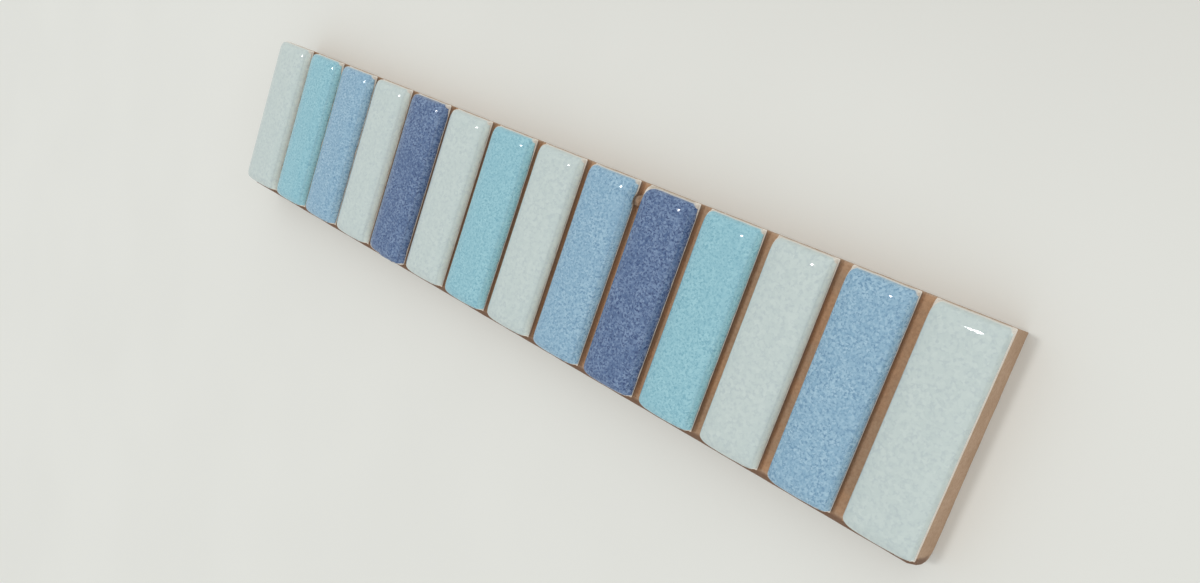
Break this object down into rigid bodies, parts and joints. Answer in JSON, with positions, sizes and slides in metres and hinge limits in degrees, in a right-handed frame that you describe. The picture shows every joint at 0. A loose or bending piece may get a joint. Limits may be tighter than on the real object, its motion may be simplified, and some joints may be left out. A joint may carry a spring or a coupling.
{
  "type": "listello border tile",
  "caption": "Narrow ceramic border tile: a fired terracotta slab with a row of raised, crowned bars glazed in white, turquoise and blue.",
  "frame": {"origin": "centre of the tile's outline, in the plane of its back", "axes": "+X along the length towards the end whose white bar has a light blue one beside it, +Y across the tile towards the side that is flush with the bars, +Z out of the glazed face"},
  "size_m": [0.201, 0.0406, 0.0121],
  "materials": {
    "terracotta": "matte",
    "white_glaze": "gloss",
    "turquoise_glaze": "gloss",
    "light_blue_glaze": "gloss",
    "dark_blue_glaze": "gloss",
    "engobe": "satin"
  },
  "bodies": {
    "root": {"listello_tile": "terracotta"}
  },
  "joints": []
}
